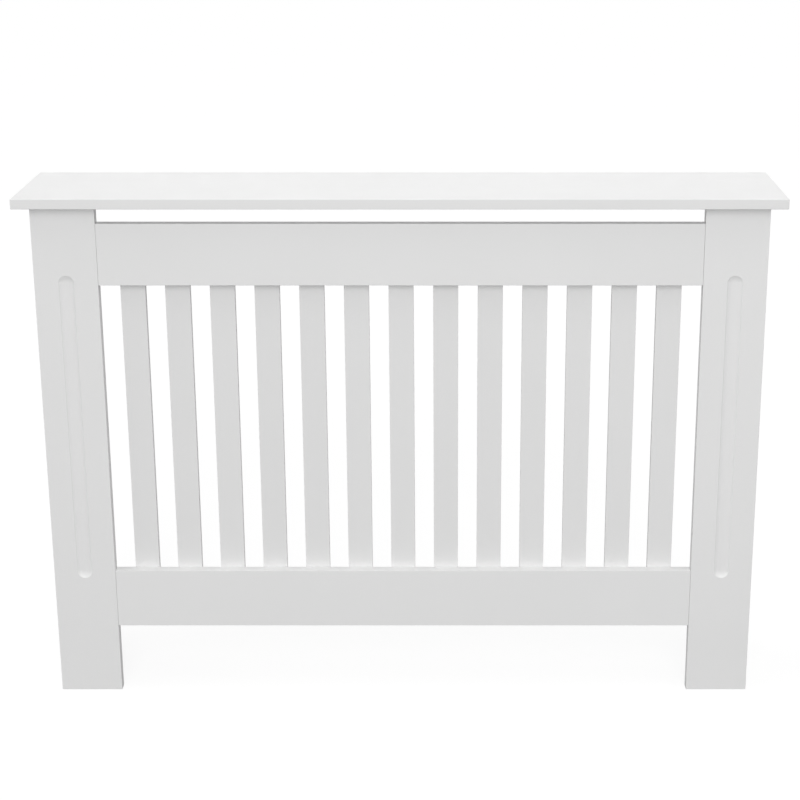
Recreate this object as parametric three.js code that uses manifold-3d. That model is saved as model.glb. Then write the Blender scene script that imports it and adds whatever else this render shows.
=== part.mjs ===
// Radiator cover cabinet: a slatted front hung between two fluted posts, two plain side
// panels behind them and a shelf on top. The back is open, and stands against the wall.
//
// Millimetres, +Z up. The front faces -Y, the wall is at +Y, and the origin is on the floor
// in the middle of the shelf's footprint.

import * as THREE from 'three';
import { RoundedBoxGeometry } from 'three/addons/geometries/RoundedBoxGeometry.js';
import { mergeVertices } from 'three/addons/utils/BufferGeometryUtils.js';
import Module from 'manifold-3d';

const wasm = await Module();
wasm.setup();

// ---------------------------------------------------------------- driving dimensions

// Shelf
const SHELF_LENGTH = 1120;
const SHELF_DEPTH = 190;
const SHELF_THICKNESS = 15;
const SHELF_HEIGHT = 795; // floor to the shelf's upper face
const SIDE_OVERHANG = 22; // shelf past each post
const FRONT_OVERHANG = 20; // shelf past the posts' front faces

// Front frame: posts and rails are cut from one board
const FRAME_THICKNESS = 15;
const POST_WIDTH = 94;
const RAIL_WIDTH = 93;
const AIR_SLOT = 26; // between the shelf and the top rail
const FOOT_HEIGHT = 111; // floor to the bottom rail

// Grille
const SLAT_COUNT = 13;
const SLAT_WIDTH = 37;
const SLAT_THICKNESS = 9;
const SLAT_LAP = 60; // of each end, behind its rail

// Side panels
const SIDE_THICKNESS = 15;

// Stopped flute down the middle of each post, cut with a ball-nosed cutter
const FLUTE_WIDTH = 23;
const FLUTE_DEPTH = 3.6;
const FLUTE_TOP_MARGIN = 104; // post's top end to the flute
const FLUTE_FOOT_MARGIN = 192; // floor to the flute

// Finish and fit
const EDGE_RADIUS = 1; // eased edges of every painted board
const SEAM = 0.2; // between two boards that meet
const CLEARANCE = 0.3; // round a piece of hardware in its bore

// Cam bolt: a thread in one board, and a head that the cam nut of the next board pulls on
const THREAD_RADIUS = 3;
const THREAD_LENGTH = 10;
const COLLAR_RADIUS = 3.7;
const COLLAR_LENGTH = 2;
const SHANK_RADIUS = 3;
const NECK_RADIUS = 1.75;
const HEAD_RADIUS = 3.2;
const HEAD_LENGTH = 2.5;
const BOLT_CHAMFER = 0.8; // at the thread's tip and round the head

// Cam nut: a drum in the side panel's inner face
const CAM_RADIUS = 7.5;
const CAM_SETBACK = 34; // board's edge to the drum's axis
const CAM_FLOOR = 3; // panel left behind the drum
const HEAD_SEAT = 2.2; // drum's axis to the widest ring of the locked head
const CAM_TURN = 110; // degrees from the mouth to the locked place
const RECESS_LENGTH = 7;
const RECESS_WIDTH = 1.4;
const RECESS_DEPTH = 2.4;

// Dowels
const DOWEL_RADIUS = 4;
const DOWEL_FLUTE = 0.35; // depth of the grooves that let the glue out
const DOWEL_GROOVES = 8;
const DOWEL_CHAMFER = 1;
const RAIL_DOWEL_DEPTH = 15; // in the rail's end and in the post's edge
const FACE_DOWEL_DEPTH = 10; // in the face of the post or the shelf
const EDGE_DOWEL_DEPTH = 20; // in the edge of the side panel

// Where the joints are
const POST_CAM_INSET = 70; // from the side panel's ends
const POST_DOWEL_INSET = 130; // from the side panel's ends
const SHELF_CAM_INSET = 35; // from the side panel's front and rear edges
const RAIL_DOWEL_INSET = 22; // from the rail's edges

// Wall brackets: folded steel, one on each side panel, flush with the rear edges
const BRACKET_LEG = 25;
const BRACKET_HEIGHT = 18;
const BRACKET_THICKNESS = 2;
const BRACKET_BEND = 2; // inside radius of the fold
const BRACKET_HOLE_RADIUS = 2.2;
const BRACKET_HOLE_INSET = 9; // from the end of each leg
const BRACKET_DROP = 12; // below the shelf

// Facets
const BORE_SIDES = 16;
const LATHE_SIDES = 12;
const CAM_SIDES = 20;
const FLUTE_SIDES = 56;
const FLUTE_CAP_STEPS = 14;
const EDGE_STEPS = 1;
const ARC_STEPS = 8;

// ---------------------------------------------------------------- places worked out from them

const LEFT = -1;
const RIGHT = 1;
const FRONT_Y = -SHELF_DEPTH / 2 + FRONT_OVERHANG;
const FRAME_Y = FRONT_Y + FRAME_THICKNESS / 2;
const FRAME_BACK_Y = FRONT_Y + FRAME_THICKNESS;
const WALL_Y = SHELF_DEPTH / 2;
const SHELF_UNDERSIDE = SHELF_HEIGHT - SHELF_THICKNESS;
const BODY_HALF_WIDTH = SHELF_LENGTH / 2 - SIDE_OVERHANG;
const POST_X = BODY_HALF_WIDTH - POST_WIDTH / 2;
const POST_EDGE_X = BODY_HALF_WIDTH - POST_WIDTH;
const POST_HEIGHT = SHELF_UNDERSIDE - SEAM;

const SIDE_X = BODY_HALF_WIDTH - SIDE_THICKNESS / 2;
const SIDE_INNER_X = BODY_HALF_WIDTH - SIDE_THICKNESS;
const SIDE_FRONT_Y = FRAME_BACK_Y + SEAM;
const SIDE_DEPTH = WALL_Y - SIDE_FRONT_Y;
const SIDE_Y = SIDE_FRONT_Y + SIDE_DEPTH / 2;

const RAIL_LENGTH = 2 * (POST_EDGE_X - SEAM);
const RAIL_END_X = POST_EDGE_X - SEAM;
const TOP_RAIL_Z = SHELF_UNDERSIDE - AIR_SLOT - RAIL_WIDTH / 2;
const BOTTOM_RAIL_Z = FOOT_HEIGHT + RAIL_WIDTH / 2;

const SLAT_LOW_Z = BOTTOM_RAIL_Z + RAIL_WIDTH / 2 - SLAT_LAP;
const SLAT_HIGH_Z = TOP_RAIL_Z - RAIL_WIDTH / 2 + SLAT_LAP;
const SLAT_Y = FRAME_BACK_Y + SEAM + SLAT_THICKNESS / 2;
const SLAT_GAP = (2 * POST_EDGE_X - SLAT_COUNT * SLAT_WIDTH) / (SLAT_COUNT + 1);

const CAM_LENGTH = SIDE_THICKNESS - CAM_FLOOR;
const CHAMBER_RADIUS = Math.hypot(HEAD_RADIUS, HEAD_SEAT) + CLEARANCE; // inside the drum
const HEAD_START = CAM_SETBACK - HEAD_SEAT - BOLT_CHAMFER; // from the board's edge
const NECK_START = CAM_SETBACK - CAM_RADIUS - CLEARANCE;

// ---------------------------------------------------------------- materials

const whitePaint = { color: 0xf0f0ee, roughness: 0.42, metalness: 0 };
const zincSteel = { color: 0xb4b7ba, roughness: 0.35, metalness: 1 };
const beech = { color: 0xd0a676, roughness: 0.7, metalness: 0 };

// ---------------------------------------------------------------- solids

// The closed three.js geometry as a solid that can be cut and joined.
function solidOf(geometry) {
  const bare = geometry.clone();
  bare.deleteAttribute('normal');
  bare.deleteAttribute('uv');
  const merged = mergeVertices(bare);
  return new wasm.Manifold(new wasm.Mesh({
    numProp: 3,
    vertProperties: new Float32Array(merged.attributes.position.array),
    triVerts: new Uint32Array(merged.index.array),
  }));
}

// The solid as a three.js geometry again.
function geometryOf(solid) {
  const mesh = solid.getMesh();
  const geometry = new THREE.BufferGeometry();
  geometry.setAttribute('position', new THREE.BufferAttribute(mesh.vertProperties, mesh.numProp));
  geometry.setIndex(new THREE.BufferAttribute(mesh.triVerts, 1));
  geometry.computeVertexNormals();
  return geometry;
}

// The geometry without the cutters, which are in the same frame as it is.
function cut(geometry, cutters) {
  let solid = solidOf(geometry);
  for (const cutter of cutters) {
    solid = solid.subtract(solidOf(cutter));
  }
  return geometryOf(solid);
}

// A painted board with eased edges, its middle at the given place. Cutters are given in the
// cabinet's frame, and are moved into the board's own.
function board(name, size, place, cutters = []) {
  const blank = new RoundedBoxGeometry(...size, EDGE_STEPS, EDGE_RADIUS);
  const own = cutters.map((cutter) => cutter.clone().translate(-place[0], -place[1], -place[2]));
  const geometry = own.length > 0 ? cut(blank, own) : blank;
  return piece(name, geometry, whitePaint, place);
}

function piece(name, geometry, finish, place, rotation = [0, 0, 0]) {
  const mesh = new THREE.Mesh(geometry, new THREE.MeshStandardMaterial(finish));
  mesh.name = name;
  mesh.position.set(...place);
  mesh.rotation.set(...rotation);
  return mesh;
}

// A round cutter from one point to another, both in the cabinet's frame.
function bore(radius, from, to) {
  const start = new THREE.Vector3(...from);
  const end = new THREE.Vector3(...to);
  const along = new THREE.Vector3().subVectors(end, start);
  const geometry = new THREE.CylinderGeometry(radius, radius, along.length(), BORE_SIDES);
  const turn = new THREE.Quaternion().setFromUnitVectors(
    new THREE.Vector3(0, 1, 0),
    along.clone().normalize(),
  );
  geometry.applyQuaternion(turn);
  geometry.translate(...start.add(end).multiplyScalar(0.5).toArray());
  return geometry;
}

// The point at a distance along a direction.
function along(point, direction, distance) {
  return point.map((value, axis) => value + direction[axis] * distance);
}

// ---------------------------------------------------------------- joints

// A joint is a point on the seam between two boards, and the direction from the board that
// holds the thread, or the shorter half of the dowel, into the other board's edge.
function panelJoints(side) {
  const sideName = side === LEFT ? 'left' : 'right';
  const toPost = (z) => ({ point: [side * SIDE_X, SIDE_FRONT_Y, z], into: [0, 1, 0] });
  const toShelf = (y) => ({ point: [side * SIDE_X, y, POST_HEIGHT], into: [0, 0, -1] });
  return {
    postCams: [
      { name: `${sideName}_post_cam`, end: 'lower', ...toPost(POST_CAM_INSET) },
      { name: `${sideName}_post_cam`, end: 'upper', ...toPost(POST_HEIGHT - POST_CAM_INSET) },
    ],
    shelfCams: [
      { name: `${sideName}_shelf_cam`, end: 'front', ...toShelf(SIDE_FRONT_Y + SHELF_CAM_INSET) },
      { name: `${sideName}_shelf_cam`, end: 'rear', ...toShelf(WALL_Y - SHELF_CAM_INSET) },
    ],
    postDowels: [
      { name: `${sideName}_post_dowel_lower`, ...toPost(POST_DOWEL_INSET) },
      { name: `${sideName}_post_dowel_upper`, ...toPost(POST_HEIGHT - POST_DOWEL_INSET) },
    ],
    shelfDowels: [{ name: `${sideName}_shelf_dowel`, ...toShelf(SIDE_Y) }],
  };
}

function railJoints(railName, railZ, side) {
  const sideName = side === LEFT ? 'left' : 'right';
  const reach = RAIL_WIDTH / 2 - RAIL_DOWEL_INSET;
  return [['lower', -reach], ['upper', reach]].map(([end, rise]) => ({
    name: `${railName}_${sideName}_dowel_${end}`,
    point: [side * RAIL_END_X, FRAME_Y, railZ + rise],
    into: [-side, 0, 0],
  }));
}

const sideJoints = new Map([[LEFT, panelJoints(LEFT)], [RIGHT, panelJoints(RIGHT)]]);
const railDowels = new Map([LEFT, RIGHT].map((side) => [side, {
  top: railJoints('top_rail', TOP_RAIL_Z, side),
  bottom: railJoints('bottom_rail', BOTTOM_RAIL_Z, side),
}]));

// Cutters start a little outside the board, so that they open its face cleanly.
const OVERRUN = 1;

// In the board that holds the thread: a pilot bore past the seam, as deep as the thread.
function threadBore({ point, into }) {
  const depth = SEAM + THREAD_LENGTH + CLEARANCE;
  return bore(THREAD_RADIUS + CLEARANCE, along(point, into, OVERRUN), along(point, into, -depth));
}

// In the side panel: a bore up its edge for the shank, and a round pocket for the drum.
function camBores({ point, into }, side) {
  const axis = along(point, into, CAM_SETBACK);
  const mouth = [side * (SIDE_INNER_X - OVERRUN), axis[1], axis[2]];
  const floor = [side * (SIDE_INNER_X + CAM_LENGTH + CLEARANCE), axis[1], axis[2]];
  return [
    bore(COLLAR_RADIUS + CLEARANCE, along(point, into, -OVERRUN), axis),
    bore(CAM_RADIUS + CLEARANCE, mouth, floor),
  ];
}

// A negative depth runs back into the board on the joint's near side.
function dowelBore({ point, into }, depth) {
  const way = Math.sign(depth);
  const mouth = along(point, into, -way * OVERRUN);
  const floor = along(point, into, depth + way * CLEARANCE);
  return bore(DOWEL_RADIUS + CLEARANCE, mouth, floor);
}

// In the face of the post or the shelf.
function faceDowelBore(dowel) {
  return dowelBore(dowel, -(SEAM + FACE_DOWEL_DEPTH));
}

// ---------------------------------------------------------------- boards

function shelf() {
  const cutters = [...sideJoints.values()].flatMap(({ shelfCams, shelfDowels }) => [
    ...shelfCams.map(threadBore),
    ...shelfDowels.map(faceDowelBore),
  ]);
  const place = [0, 0, SHELF_HEIGHT - SHELF_THICKNESS / 2];
  return board('top_board', [SHELF_LENGTH, SHELF_DEPTH, SHELF_THICKNESS], place, cutters);
}

// The path of the ball-nosed cutter: a capsule sunk until it leaves a groove of the flute's
// width and depth.
function fluteCutter(x) {
  const ball = (FLUTE_WIDTH ** 2 / 4 + FLUTE_DEPTH ** 2) / (2 * FLUTE_DEPTH);
  const top = POST_HEIGHT - FLUTE_TOP_MARGIN;
  const travel = top - FLUTE_FOOT_MARGIN - FLUTE_WIDTH;
  const capsule = new THREE.CapsuleGeometry(ball, travel, FLUTE_CAP_STEPS, FLUTE_SIDES);
  capsule.rotateX(Math.PI / 2);
  capsule.translate(x, FRONT_Y + FLUTE_DEPTH - ball, (top + FLUTE_FOOT_MARGIN) / 2);
  return capsule;
}

function post(name, side) {
  const { postCams, postDowels } = sideJoints.get(side);
  const { top, bottom } = railDowels.get(side);
  const cutters = [
    fluteCutter(side * POST_X),
    ...postCams.map(threadBore),
    ...postDowels.map(faceDowelBore),
    ...[...top, ...bottom].map((dowel) => dowelBore(dowel, -(SEAM + RAIL_DOWEL_DEPTH))),
  ];
  const place = [side * POST_X, FRAME_Y, POST_HEIGHT / 2];
  return board(name, [POST_WIDTH, FRAME_THICKNESS, POST_HEIGHT], place, cutters);
}

function rail(name, z, end) {
  const cutters = [LEFT, RIGHT].flatMap((side) => railDowels.get(side)[end])
    .map((dowel) => dowelBore(dowel, RAIL_DOWEL_DEPTH));
  return board(name, [RAIL_LENGTH, FRAME_THICKNESS, RAIL_WIDTH], [0, FRAME_Y, z], cutters);
}

function sidePanel(name, side) {
  const { postCams, shelfCams, postDowels, shelfDowels } = sideJoints.get(side);
  const cutters = [
    ...[...postCams, ...shelfCams].flatMap((cam) => camBores(cam, side)),
    ...[...postDowels, ...shelfDowels].map((dowel) => dowelBore(dowel, EDGE_DOWEL_DEPTH)),
  ];
  const place = [side * SIDE_X, SIDE_Y, POST_HEIGHT / 2];
  return board(name, [SIDE_THICKNESS, SIDE_DEPTH, POST_HEIGHT], place, cutters);
}

function slats() {
  const height = SLAT_HIGH_Z - SLAT_LOW_Z;
  const pitch = SLAT_WIDTH + SLAT_GAP;
  const group = new THREE.Group();
  for (let i = 0; i < SLAT_COUNT; i += 1) {
    const x = -POST_EDGE_X + SLAT_GAP + SLAT_WIDTH / 2 + i * pitch;
    const name = `slat_${String(i + 1).padStart(2, '0')}`;
    const place = [x, SLAT_Y, (SLAT_LOW_Z + SLAT_HIGH_Z) / 2];
    group.add(board(name, [SLAT_WIDTH, SLAT_THICKNESS, height], place));
  }
  return group;
}

// ---------------------------------------------------------------- hardware

// A bolt turned about its axis: the thread, the collar on the seam, the shank, the neck that
// passes the drum's jaw, and the head behind it. Local +Y runs into the edge that it joins.
function camBoltGeometry() {
  const chamfer = BOLT_CHAMFER;
  const thread = SEAM + THREAD_LENGTH;
  const profile = [
    [0, -thread],
    [THREAD_RADIUS - chamfer, -thread],
    [THREAD_RADIUS, -thread + chamfer],
    [THREAD_RADIUS, -SEAM + CLEARANCE],
    [COLLAR_RADIUS, -SEAM + CLEARANCE],
    [COLLAR_RADIUS, -SEAM + CLEARANCE + COLLAR_LENGTH],
    [SHANK_RADIUS, -SEAM + CLEARANCE + COLLAR_LENGTH],
    [SHANK_RADIUS, NECK_START - chamfer],
    [NECK_RADIUS, NECK_START],
    [NECK_RADIUS, HEAD_START],
    [HEAD_RADIUS, HEAD_START + chamfer],
    [HEAD_RADIUS, HEAD_START + HEAD_LENGTH - chamfer],
    [0, HEAD_START + HEAD_LENGTH],
  ].map(([r, y]) => new THREE.Vector2(r, y));
  return new THREE.LatheGeometry(profile, LATHE_SIDES);
}

// The drum about local Z, its outer face at +Z. The bolt comes from local -Y: its head enters
// by the mouth, and a turn of the drum brings the narrow slot of the jaw round its neck.
function camNutGeometry() {
  const boltZ = -SIDE_THICKNESS / 2;
  const neckRoom = NECK_RADIUS + CLEARANCE;
  const headRoom = HEAD_RADIUS + CLEARANCE;
  const drum = new THREE.CylinderGeometry(CAM_RADIUS, CAM_RADIUS, CAM_LENGTH, CAM_SIDES);
  drum.rotateX(Math.PI / 2);
  drum.translate(0, 0, -CAM_LENGTH / 2);

  const chamber = new THREE.CylinderGeometry(CHAMBER_RADIUS, CHAMBER_RADIUS, 2 * headRoom, CAM_SIDES);
  chamber.rotateX(Math.PI / 2);
  chamber.translate(0, 0, boltZ);

  const locked = -Math.PI / 2;
  const mouthAngle = locked + THREE.MathUtils.degToRad(CAM_TURN);
  const slotStart = locked - Math.asin(neckRoom / CHAMBER_RADIUS);
  const reach = CAM_RADIUS + OVERRUN;
  const sector = new THREE.Shape();
  sector.moveTo(0, 0);
  sector.lineTo(reach * Math.cos(slotStart), reach * Math.sin(slotStart));
  sector.absarc(0, 0, reach, slotStart, mouthAngle);
  const slot = new THREE.ExtrudeGeometry(sector, {
    depth: 2 * neckRoom,
    bevelEnabled: false,
    curveSegments: ARC_STEPS,
  });
  slot.translate(0, 0, boltZ - neckRoom);

  const mouth = new THREE.CylinderGeometry(headRoom, headRoom, reach, BORE_SIDES);
  mouth.translate(0, reach / 2, 0);
  mouth.rotateZ(mouthAngle - Math.PI / 2);
  mouth.translate(0, 0, boltZ);

  const cross = [0, Math.PI / 2].map((turn) => {
    const arm = new THREE.BoxGeometry(RECESS_LENGTH, RECESS_WIDTH, 2 * RECESS_DEPTH);
    return arm.rotateZ(turn);
  });
  return cut(drum, [chamber, slot, mouth, ...cross]);
}

function camPieces(cam, side, boltGeometry, nutGeometry) {
  const [x, y, z] = along(cam.point, cam.into, CAM_SETBACK);
  const isUpright = cam.into[2] !== 0;
  const boltTurn = [isUpright ? -Math.PI / 2 : 0, 0, 0];
  const nutTurn = [0, -side * Math.PI / 2, isUpright ? side * Math.PI / 2 : 0];
  const nutPlace = [x - side * SIDE_THICKNESS / 2, y, z];
  return [
    piece(`${cam.name}_bolt_${cam.end}`, boltGeometry, zincSteel, cam.point, boltTurn),
    piece(`${cam.name}_nut_${cam.end}`, nutGeometry, zincSteel, nutPlace, nutTurn),
  ];
}

// A grooved dowel about local Z, from 0 to its length.
function dowelGeometry(length) {
  const outline = new THREE.Shape();
  const points = 2 * DOWEL_GROOVES;
  for (let i = 0; i < points; i += 1) {
    const radius = i % 2 === 0 ? DOWEL_RADIUS : DOWEL_RADIUS - DOWEL_FLUTE;
    const angle = (i / points) * 2 * Math.PI;
    outline[i === 0 ? 'moveTo' : 'lineTo'](radius * Math.cos(angle), radius * Math.sin(angle));
  }
  outline.closePath();
  const geometry = new THREE.ExtrudeGeometry(outline, {
    depth: length - 2 * DOWEL_CHAMFER,
    bevelThickness: DOWEL_CHAMFER,
    bevelSize: DOWEL_CHAMFER,
    bevelOffset: -DOWEL_CHAMFER,
    bevelSegments: 1,
  });
  return geometry.translate(0, 0, DOWEL_CHAMFER);
}

// The dowel runs from its depth in the first board to its depth in the second.
function dowelPiece({ name, point, into }, firstDepth, secondDepth) {
  const length = firstDepth + SEAM + secondDepth;
  const geometry = dowelGeometry(length);
  const start = along(point, into, -(SEAM + firstDepth));
  const mesh = piece(name, geometry, beech, start);
  mesh.quaternion.setFromUnitVectors(new THREE.Vector3(0, 0, 1), new THREE.Vector3(...into));
  return mesh;
}

// A folded angle: one leg on the side panel, one leg on the wall, with a screw hole in each.
// In the cabinet's frame but for its side: x is measured inwards from the panel, y from the wall.
function bracketGeometry(side) {
  const outer = BRACKET_BEND + BRACKET_THICKNESS;
  const profile = new THREE.Shape();
  profile.moveTo(outer, 0);
  profile.lineTo(BRACKET_LEG, 0);
  profile.lineTo(BRACKET_LEG, BRACKET_THICKNESS);
  profile.lineTo(outer, BRACKET_THICKNESS);
  profile.absarc(outer, outer, BRACKET_BEND, -Math.PI / 2, -Math.PI, true);
  profile.lineTo(BRACKET_THICKNESS, BRACKET_LEG);
  profile.lineTo(0, BRACKET_LEG);
  profile.lineTo(0, outer);
  profile.absarc(outer, outer, outer, Math.PI, 1.5 * Math.PI);
  const angle = new THREE.ExtrudeGeometry(profile, {
    depth: BRACKET_HEIGHT,
    bevelEnabled: false,
    curveSegments: ARC_STEPS / 2,
  });
  const holeAt = BRACKET_LEG - BRACKET_HOLE_INSET;
  const middle = BRACKET_HEIGHT / 2;
  const through = BRACKET_THICKNESS + OVERRUN;
  const drilled = cut(angle, [
    bore(BRACKET_HOLE_RADIUS, [holeAt, -OVERRUN, middle], [holeAt, through, middle]),
    bore(BRACKET_HOLE_RADIUS, [-OVERRUN, holeAt, middle], [through, holeAt, middle]),
  ]);
  // The left bracket's legs run to +X and -Y. The right one is the same piece, turned over.
  const turn = side === LEFT ? [Math.PI, 0, 0] : [0, 0, Math.PI];
  const rise = side === LEFT ? BRACKET_HEIGHT : 0;
  drilled.applyMatrix4(new THREE.Matrix4().makeRotationFromEuler(new THREE.Euler(...turn)));
  return drilled.translate(0, 0, rise);
}

function wallBracket(name, side) {
  const seat = side * (SIDE_INNER_X - SEAM);
  const place = [seat, WALL_Y, SHELF_UNDERSIDE - BRACKET_DROP - BRACKET_HEIGHT];
  return piece(name, bracketGeometry(side), zincSteel, place);
}

// ---------------------------------------------------------------- assembly

const cabinet = new THREE.Group();
cabinet.add(shelf());
cabinet.add(post('left_post', LEFT), post('right_post', RIGHT));
cabinet.add(rail('top_rail', TOP_RAIL_Z, 'top'), rail('bottom_rail', BOTTOM_RAIL_Z, 'bottom'));
cabinet.add(slats());
cabinet.add(sidePanel('left_side_panel', LEFT), sidePanel('right_side_panel', RIGHT));

const hardware = new THREE.Group();
const boltGeometry = camBoltGeometry();
const nutGeometry = camNutGeometry();
for (const side of [LEFT, RIGHT]) {
  const { postCams, shelfCams, postDowels, shelfDowels } = sideJoints.get(side);
  for (const cam of [...postCams, ...shelfCams]) {
    hardware.add(...camPieces(cam, side, boltGeometry, nutGeometry));
  }
  for (const dowel of [...postDowels, ...shelfDowels]) {
    hardware.add(dowelPiece(dowel, FACE_DOWEL_DEPTH, EDGE_DOWEL_DEPTH));
  }
  for (const dowel of Object.values(railDowels.get(side)).flat()) {
    hardware.add(dowelPiece(dowel, RAIL_DOWEL_DEPTH, RAIL_DOWEL_DEPTH));
  }
}
hardware.add(wallBracket('left_wall_bracket', LEFT), wallBracket('right_wall_bracket', RIGHT));
cabinet.add(hardware);

export default cabinet;
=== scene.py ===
# Radiator cover cabinet: painted boards with fluted posts and a slatted grille, and the
# steel and beech fittings that hold them together.
#
# Metres, +Z up. The front faces -Y and the back stands against a wall at +Y.

import math
import random

import bmesh
import bpy
from mathutils import Matrix, Vector


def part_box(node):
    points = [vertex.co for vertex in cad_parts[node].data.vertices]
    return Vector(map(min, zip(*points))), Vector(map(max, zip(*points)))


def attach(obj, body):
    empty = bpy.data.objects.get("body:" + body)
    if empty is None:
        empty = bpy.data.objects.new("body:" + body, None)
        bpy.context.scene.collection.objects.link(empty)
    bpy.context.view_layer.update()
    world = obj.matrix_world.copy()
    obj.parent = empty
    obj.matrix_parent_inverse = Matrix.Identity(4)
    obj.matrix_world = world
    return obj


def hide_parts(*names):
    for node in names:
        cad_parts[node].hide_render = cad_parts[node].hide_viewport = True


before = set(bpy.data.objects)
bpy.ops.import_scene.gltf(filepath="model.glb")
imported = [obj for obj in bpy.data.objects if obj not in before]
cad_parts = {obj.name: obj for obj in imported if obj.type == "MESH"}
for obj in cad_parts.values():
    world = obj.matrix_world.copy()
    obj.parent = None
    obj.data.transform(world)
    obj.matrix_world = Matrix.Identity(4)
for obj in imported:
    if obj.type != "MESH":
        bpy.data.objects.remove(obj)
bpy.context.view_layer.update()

BODY = "root"
MM = 0.001

# ---------------------------------------------------------------- sizes

# Boards
SHELF_ARRIS = 1.0 * MM  # eased edges
BOARD_ARRIS = 0.6 * MM
ARRIS_STEPS = 4
ARRIS_PROFILE = 0.5  # round
SHARP_ANGLE = math.radians(32)
FLAT_SHARE = 0.7  # a face counts as the board's broad side above this share of its normal
TONE_SEED = 7
SLAT_PAINTED_SHADE = -4.0  # painted shade: the slats, set back behind the rails, are painted greyer than the frame

# Stopped flute in each post
FLUTE_WIDTH = 23 * MM
FLUTE_DEPTH = 3.1 * MM
FLUTE_FULLNESS = 3.6  # power of its section, higher for a flatter middle and steeper walls
FLUTE_END_FULLNESS = 2.2  # the same down its middle line, where it runs out
FLUTE_TOP_MARGIN = 104 * MM  # post's top end to the flute
FLUTE_FOOT_MARGIN = 192 * MM  # post's foot to the flute
FLUTE_RIM_RADIUS = 0.45 * MM  # where the flute meets the face
FLUTE_STEPS = 20  # from the flute's bottom to its rim
RIM_STEPS = 5
FLUTE_RUN_OUT = 0.5 * MM  # of the rim's slope past the face
FLUTE_END_SIDES = 48  # round each half-round end
CUT_OVERRUN = 2 * MM  # of a cutter past the face that it opens

# Bores and hardware
CLEARANCE = 0.3 * MM
SEAM = 0.2 * MM  # between two boards that meet
BORE_SIDES = 40
TURNED_SIDES = 40

# Cam bolt, from the seam between the two boards that it joins
THREAD_RADIUS = 3.0 * MM
THREAD_CORE = 2.2 * MM
THREAD_LENGTH = 10 * MM
THREAD_PITCH = 2.2 * MM
THREAD_STEPS = 8  # rings in one turn of the thread
THREAD_RIDGE = 0.32  # half the ridge's width, as a share of the pitch
THREAD_END_GAP = 0.001 * MM  # keeps the collar's first ring out of the thread
TIP_LENGTH = 1.6 * MM
TIP_SHARE = 0.35  # the tip's radius by the core's
COLLAR_RADIUS = 3.7 * MM
COLLAR_LENGTH = 2 * MM
COLLAR_CHAMFER = 0.2 * MM
SHANK_RADIUS = 3 * MM
NECK_RADIUS = 1.75 * MM
HEAD_RADIUS = 3.2 * MM
HEAD_LENGTH = 2.5 * MM
BOLT_CHAMFER = 0.8 * MM

# Cam nut in the side panel's inner face
CAM_RADIUS = 7.5 * MM
CAM_RIM = 0.35 * MM  # chamfer round the drum's outer face
CAM_SETBACK = 34 * MM  # seam to the drum's axis
CAM_FLOOR = 3 * MM  # panel left behind the drum
HEAD_SEAT = 2.2 * MM  # drum's axis to the bolt's head
CAM_TURN = math.radians(110)  # from the mouth to the locked place
CAM_SLOT_STEPS = 24
RECESS_LENGTH = 7 * MM
RECESS_WIDTH = 1.4 * MM
RECESS_DEPTH = 2.4 * MM
RECESS_FLOOR = (0.45, 0.75)  # length and width of an arm's bottom by those at its top
DISH_RADIUS = 5.4 * MM  # shallow dish round the recess
DISH_DEPTH = 0.35 * MM

# Dowels
DOWEL_FLUTE = 0.35 * MM
DOWEL_GROOVES = 12
DOWEL_GROOVE_POWER = 3  # higher for narrower grooves
DOWEL_SIDES_PER_GROOVE = 6
DOWEL_CHAMFER = 1 * MM

# Wall brackets
BRACKET_THICKNESS = 2 * MM
BRACKET_BEND = 2 * MM  # inside radius
BRACKET_HOLE_RADIUS = 2.2 * MM
BRACKET_HOLE_INSET = 9 * MM  # from the end of each leg
BRACKET_BEND_STEPS = 12
BRACKET_ARRIS = 0.2 * MM
BRACKET_ARRIS_STEPS = 2

# Bracket screws
SCREW_HEAD_RADIUS = 4 * MM
SCREW_HEAD_HEIGHT = 2.4 * MM
SCREW_DOME_STEPS = 6
SCREW_DOME_TOP = 0.62  # radius where the dome starts, by the head's
SCREW_DOME_HEIGHT = 0.75  # by the head's, and likewise the next
SCREW_SKIRT_HEIGHT = 0.2
SCREW_UNDERSIDE = 0.97  # radius by the head's
SCREW_CORE = 1.25 * MM
SCREW_RADIUS = 1.9 * MM
SCREW_LENGTH = 12 * MM
SCREW_PITCH = 1.6 * MM
SCREW_TIP_TURNS = 1.5  # length of the bare tip, in pitches
SCREW_TIP_SHARES = (0.55, 0.12)  # radius half way down the tip and at its end, by the core's
SCREW_RECESS = 4.2 * MM
SCREW_RECESS_WIDTH = 1 * MM
SCREW_RECESS_DEPTH = 1.5 * MM
SCREW_TURN = math.radians(20)  # of the recess, where it was left

# Staples through the slats' ends into the rails
STAPLE_CROWN = 11 * MM
STAPLE_LEG = 16 * MM
STAPLE_WIRE = 1.2 * MM
STAPLE_THICKNESS = 0.6 * MM
STAPLE_BEND = 0.25 * MM  # inside radius
STAPLE_BEND_STEPS = 3
STAPLE_PROUD = 0.1 * MM  # of the slat's back
STAPLE_INSETS = (14 * MM, 42 * MM)  # from the slat's end
STAPLE_TILT = math.radians(12)
STAPLE_SHIFT_X = 1.5 * MM  # at most, from its place
STAPLE_SHIFT_Z = 2 * MM

# ---------------------------------------------------------------- mesh helpers

SQUARE = ((-1, -1), (1, -1), (1, 1), (-1, 1))  # the signs of its corners, in order


def new_object(name, mesh):
    obj = bpy.data.objects.new(name, mesh)
    bpy.context.scene.collection.objects.link(obj)
    return obj


def object_from(name, bm):
    """The bmesh as a new object, with its faces pointing out."""
    bmesh.ops.recalc_face_normals(bm, faces=bm.faces[:])
    mesh = bpy.data.meshes.new(name)
    bm.to_mesh(mesh)
    bm.free()
    return new_object(name, mesh)


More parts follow.
